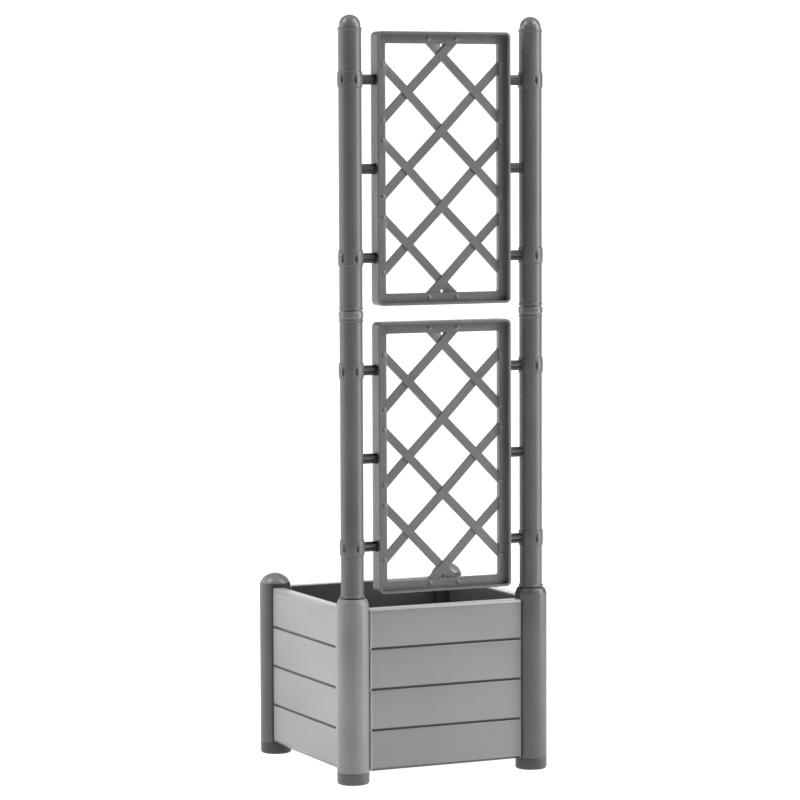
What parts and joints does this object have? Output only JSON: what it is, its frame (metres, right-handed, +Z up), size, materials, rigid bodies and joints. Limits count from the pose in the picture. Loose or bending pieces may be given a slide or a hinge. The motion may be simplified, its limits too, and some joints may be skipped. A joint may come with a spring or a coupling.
{
  "type": "planter with trellis",
  "caption": "Square floor planter of moulded plastic boards between round posts, with a tall trellis of lattice panels between two tubes for climbing plants.",
  "frame": {"origin": "middle of the square footprint, on the ground", "axes": "+X along the trellis face to the right, +Y from the trellis face to the back, +Z up"},
  "size_m": [0.43, 0.43, 1.42],
  "materials": {
    "post_plastic": "satin moulded polypropylene",
    "cap_plastic": "satin moulded polypropylene",
    "panel_plastic": "fine wood-grain texture, moulded polypropylene",
    "floor_plastic": "plain moulded polypropylene",
    "tube_plastic": "satin moulded polypropylene",
    "fitting_plastic": "satin moulded polypropylene",
    "lattice_plastic": "fine wood-grain texture, moulded polypropylene",
    "peg_plastic": "matt moulded polypropylene"
  },
  "bodies": {
    "planter_box": {"corner_post_front_left": "post_plastic", "corner_post_front_right": "post_plastic", "corner_post_rear_left": "post_plastic", "corner_post_rear_right": "post_plastic", "foot_cap_front_left": "cap_plastic", "foot_cap_front_right": "cap_plastic", "foot_cap_rear_left": "cap_plastic", "foot_cap_rear_right": "cap_plastic", "front_panel": "panel_plastic", "right_panel": "panel_plastic", "rear_panel": "panel_plastic", "left_panel": "panel_plastic", "floor_plate": "floor_plastic"},
    "trellis": {"lower_tube_left": "tube_plastic", "lower_tube_right": "tube_plastic", "upper_tube_left": "tube_plastic", "upper_tube_right": "tube_plastic", "tube_coupler_left": "fitting_plastic", "tube_coupler_right": "fitting_plastic", "tube_finial_left": "fitting_plastic", "tube_finial_right": "fitting_plastic", "lower_lattice": "lattice_plastic", "upper_lattice": "lattice_plastic", "peg_lower_left_bottom": "peg_plastic", "peg_lower_left_middle": "peg_plastic", "peg_lower_left_top": "peg_plastic", "peg_lower_right_bottom": "peg_plastic", "peg_lower_right_middle": "peg_plastic", "peg_lower_right_top": "peg_plastic", "peg_upper_left_bottom": "peg_plastic", "peg_upper_left_middle": "peg_plastic", "peg_upper_left_top": "peg_plastic", "peg_upper_right_bottom": "peg_plastic", "peg_upper_right_middle": "peg_plastic", "peg_upper_right_top": "peg_plastic"},
    "rear_cap_left": {"post_cap_rear_left": "cap_plastic"},
    "rear_cap_right": {"post_cap_rear_right": "cap_plastic"}
  },
  "joints": [
    {"name": "trellis_lift_off", "type": "slide", "parent": "planter_box", "child": "trellis", "axis": [0, 0, 1], "range_m": [0, 0.08]},
    {"name": "cap_lift_off_left", "type": "slide", "parent": "planter_box", "child": "rear_cap_left", "axis": [0, 0, 1], "range_m": [0, 0.02]},
    {"name": "cap_lift_off_right", "type": "slide", "parent": "planter_box", "child": "rear_cap_right", "axis": [0, 0, 1], "range_m": [0, 0.02]}
  ]
}
